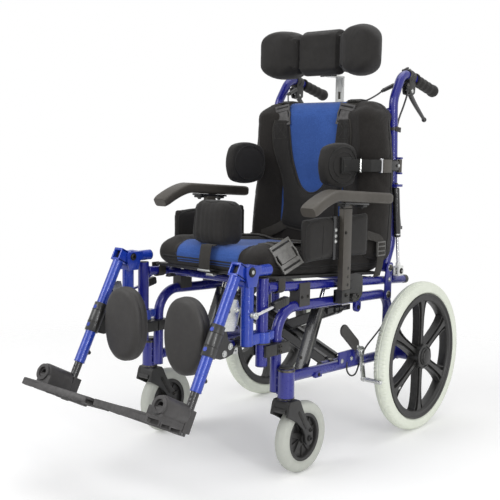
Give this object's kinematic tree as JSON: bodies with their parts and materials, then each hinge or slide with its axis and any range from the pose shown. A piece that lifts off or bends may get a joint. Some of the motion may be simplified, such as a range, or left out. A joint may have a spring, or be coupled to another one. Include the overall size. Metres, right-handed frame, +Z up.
{
  "type": "tilt in space wheelchair",
  "caption": "Attendant wheelchair whose seat tilts in space and back reclines, with elevating legrests, headrest and postural supports.",
  "frame": {"origin": "centre of the chair's length and width, on the floor", "axes": "+X to the user's left, +Y backwards to the push handles, +Z up"},
  "size_m": [0.578, 1.144, 1.0722],
  "materials": {
    "frame_blue": "gloss",
    "black_steel": "satin",
    "black_plastic": "matte",
    "bright_steel": "satin",
    "pale_rubber": "matte",
    "grey_rubber": "matte",
    "arm_grey_brown": "matte",
    "black_fabric": "matte",
    "blue_fabric": "matte",
    "webbing": "matte"
  },
  "bodies": {
    "base": {"base_frame_left": "frame_blue", "base_frame_right": "frame_blue", "cross_brace": "black_steel", "rail_saddle_left": "black_plastic", "rail_saddle_right": "black_plastic", "tilt_strut_cylinder_left": "black_steel", "tilt_strut_cylinder_right": "black_steel"},
    "seat": {"seat_frame": "frame_blue", "seat_board": "black_plastic", "seat_cushion": "blue_fabric", "pommel": "black_fabric", "armrest_socket_left": "black_plastic", "armrest_socket_right": "black_plastic", "pelvic_belt": "webbing"},
    "back": {"back_frame": "frame_blue", "push_grip_left": "black_plastic", "push_grip_right": "black_plastic", "recline_cylinder": "black_steel", "back_cushion": "blue_fabric", "chest_harness": "webbing", "brake_cable": "black_plastic"},
    "recline_rod": {"recline_rod": "bright_steel"},
    "headrest": {"headrest_stalk": "bright_steel", "headrest_pad": "black_fabric"},
    "rear_wheel_left": {"rear_wheel_left": "black_plastic", "rear_tyre_left": "pale_rubber"},
    "caster_left": {"caster_fork_left": "black_plastic"},
    "caster_wheel_left": {"caster_wheel_left": "black_plastic", "caster_tyre_left": "grey_rubber"},
    "parking_brake_left": {"parking_brake_left": "bright_steel"},
    "strut_rod_left": {"tilt_strut_rod_left": "bright_steel"},
    "armrest_left": {"armrest_post_left": "arm_grey_brown", "armrest_pad_left": "arm_grey_brown", "side_pad_left": "black_fabric"},
    "hanger_left": {"hanger_left": "frame_blue"},
    "hanger_release_left": {"hanger_release_left": "bright_steel"},
    "legrest_left": {"legrest_tube_left": "frame_blue"},
    "leg_extension_left": {"leg_extension_left": "bright_steel"},
    "footplate_left": {"footplate_left": "black_plastic"},
    "calf_pad_left": {"calf_pad_left": "black_fabric"},
    "brake_handle_left": {"brake_handle_left": "black_steel"},
    "lateral_left": {"lateral_support_left": "black_fabric"},
    "rear_wheel_right": {"rear_wheel_right": "black_plastic", "rear_tyre_right": "pale_rubber"},
    "caster_right": {"caster_fork_right": "black_plastic"},
    "caster_wheel_right": {"caster_wheel_right": "black_plastic", "caster_tyre_right": "grey_rubber"},
    "parking_brake_right": {"parking_brake_right": "bright_steel"},
    "strut_rod_right": {"tilt_strut_rod_right": "bright_steel"},
    "armrest_right": {"armrest_post_right": "arm_grey_brown", "armrest_pad_right": "arm_grey_brown", "side_pad_right": "black_fabric"},
    "hanger_right": {"hanger_right": "frame_blue"},
    "hanger_release_right": {"hanger_release_right": "bright_steel"},
    "legrest_right": {"legrest_tube_right": "frame_blue"},
    "leg_extension_right": {"leg_extension_right": "bright_steel"},
    "footplate_right": {"footplate_right": "black_plastic"},
    "calf_pad_right": {"calf_pad_right": "black_fabric"},
    "brake_handle_right": {"brake_handle_right": "black_steel"},
    "lateral_right": {"lateral_support_right": "black_fabric"}
  },
  "joints": [
    {"name": "tilt", "type": "hinge", "parent": "base", "child": "seat", "pos_m": [0, 0.28801, 0.37], "axis": [-1, 0, 0], "range_deg": [0, 30]},
    {"name": "recline", "type": "hinge", "parent": "seat", "child": "back", "pos_m": [0, 0.29401, 0.44], "axis": [-1, 0, 0], "range_deg": [0, 40]},
    {"name": "recline_rod_slide", "type": "slide", "parent": "back", "child": "recline_rod", "axis": [0, -0.1174, 0.9931], "range_m": [0, 0.024]},
    {"name": "headrest_height", "type": "slide", "parent": "back", "child": "headrest", "axis": [0, 0, 1], "range_m": [0, 0.06]},
    {"name": "rear_wheel_spin_left", "type": "hinge", "parent": "base", "child": "rear_wheel_left", "pos_m": [0.256, 0.37201, 0.2], "axis": [1, 0, 0], "continuous": true},
    {"name": "caster_swivel_left", "type": "hinge", "parent": "base", "child": "caster_left", "pos_m": [0.222, -0.16199, 0.2], "axis": [0, 0, 1], "continuous": true},
    {"name": "caster_spin_left", "type": "hinge", "parent": "caster_left", "child": "caster_wheel_left", "pos_m": [0.222, -0.10299, 0.0835], "axis": [1, 0, 0], "continuous": true},
    {"name": "parking_brake_left", "type": "hinge", "parent": "base", "child": "parking_brake_left", "pos_m": [0.216, 0.15301, 0.24], "axis": [-1, 0, 0], "range_deg": [0, 35]},
    {"name": "strut_rod_slide_left", "type": "slide", "parent": "base", "child": "strut_rod_left", "axis": [0, 0.4176, 0.9086], "range_m": [0, 0.118]},
    {"name": "armrest_height_left", "type": "slide", "parent": "seat", "child": "armrest_left", "axis": [0, 0, 1], "range_m": [0, 0.06]},
    {"name": "hanger_swing_left", "type": "hinge", "parent": "seat", "child": "hanger_left", "pos_m": [0.191, -0.21399, 0.4], "axis": [0, 0, 1], "range_deg": [0, 90]},
    {"name": "hanger_release_left", "type": "hinge", "parent": "hanger_left", "child": "hanger_release_left", "pos_m": [0.2133, -0.26499, 0.386], "axis": [1, 0, 0], "range_deg": [0, 15], "stiffness_Nm_per_rad": 1.5, "springref_deg": -17.19},
    {"name": "legrest_elevation_left", "type": "hinge", "parent": "hanger_left", "child": "legrest_left", "pos_m": [0.187, -0.26899, 0.48], "axis": [-1, 0, 0], "range_deg": [0, 60]},
    {"name": "leg_length_left", "type": "slide", "parent": "legrest_left", "child": "leg_extension_left", "axis": [0, -0.4648, -0.8854], "range_m": [0, 0.08]},
    {"name": "footplate_flip_left", "type": "hinge", "parent": "leg_extension_left", "child": "footplate_left", "pos_m": [0.1865, -0.48437, 0.22036], "axis": [0, 0.8854, -0.4648], "range_deg": [0, 90]},
    {"name": "calf_pad_angle_left", "type": "hinge", "parent": "legrest_left", "child": "calf_pad_left", "pos_m": [0.18, -0.32699, 0.338], "axis": [1, 0, 0], "range_deg": [-20, 0]},
    {"name": "brake_handle_left", "type": "hinge", "parent": "back", "child": "brake_handle_left", "pos_m": [0.187, 0.39401, 0.905], "axis": [1, 0, 0], "range_deg": [0, 15], "stiffness_Nm_per_rad": 3, "springref_deg": -20.05},
    {"name": "lateral_swing_left", "type": "hinge", "parent": "back", "child": "lateral_left", "pos_m": [0.2093, 0.32201, 0.707], "axis": [0, 0, 1], "range_deg": [0, 80]},
    {"name": "rear_wheel_spin_right", "type": "hinge", "parent": "base", "child": "rear_wheel_right", "pos_m": [-0.256, 0.37201, 0.2], "axis": [1, 0, 0], "continuous": true},
    {"name": "caster_swivel_right", "type": "hinge", "parent": "base", "child": "caster_right", "pos_m": [-0.222, -0.16199, 0.2], "axis": [0, 0, 1], "continuous": true},
    {"name": "caster_spin_right", "type": "hinge", "parent": "caster_right", "child": "caster_wheel_right", "pos_m": [-0.222, -0.10299, 0.0835], "axis": [1, 0, 0], "continuous": true},
    {"name": "parking_brake_right", "type": "hinge", "parent": "base", "child": "parking_brake_right", "pos_m": [-0.216, 0.15301, 0.24], "axis": [-1, 0, 0], "range_deg": [0, 35]},
    {"name": "strut_rod_slide_right", "type": "slide", "parent": "base", "child": "strut_rod_right", "axis": [0, 0.4176, 0.9086], "range_m": [0, 0.118]},
    {"name": "armrest_height_right", "type": "slide", "parent": "seat", "child": "armrest_right", "axis": [0, 0, 1], "range_m": [0, 0.06]},
    {"name": "hanger_swing_right", "type": "hinge", "parent": "seat", "child": "hanger_right", "pos_m": [-0.191, -0.21399, 0.4], "axis": [0, 0, -1], "range_deg": [0, 90]},
    {"name": "hanger_release_right", "type": "hinge", "parent": "hanger_right", "child": "hanger_release_right", "pos_m": [-0.2133, -0.26499, 0.386], "axis": [1, 0, 0], "range_deg": [0, 15], "stiffness_Nm_per_rad": 1.5, "springref_deg": -17.19},
    {"name": "legrest_elevation_right", "type": "hinge", "parent": "hanger_right", "child": "legrest_right", "pos_m": [-0.187, -0.26899, 0.48], "axis": [-1, 0, 0], "range_deg": [0, 60]},
    {"name": "leg_length_right", "type": "slide", "parent": "legrest_right", "child": "leg_extension_right", "axis": [0, -0.4648, -0.8854], "range_m": [0, 0.08]},
    {"name": "footplate_flip_right", "type": "hinge", "parent": "leg_extension_right", "child": "footplate_right", "pos_m": [-0.1865, -0.48437, 0.22036], "axis": [0, -0.8854, 0.4648], "range_deg": [0, 90]},
    {"name": "calf_pad_angle_right", "type": "hinge", "parent": "legrest_right", "child": "calf_pad_right", "pos_m": [-0.18, -0.32699, 0.338], "axis": [1, 0, 0], "range_deg": [-20, 0]},
    {"name": "brake_handle_right", "type": "hinge", "parent": "back", "child": "brake_handle_right", "pos_m": [-0.187, 0.39401, 0.905], "axis": [1, 0, 0], "range_deg": [0, 15], "stiffness_Nm_per_rad": 3, "springref_deg": -20.05},
    {"name": "lateral_swing_right", "type": "hinge", "parent": "back", "child": "lateral_right", "pos_m": [-0.2093, 0.32201, 0.707], "axis": [0, 0, -1], "range_deg": [0, 80]}
  ],
  "couplings": [
    {"joint": "recline_rod_slide", "follows": "recline", "m_per_rad": 0.0328},
    {"joint": "strut_rod_slide_left", "follows": "tilt", "m_per_rad": 0.2234},
    {"joint": "strut_rod_slide_right", "follows": "tilt", "m_per_rad": 0.2234}
  ]
}
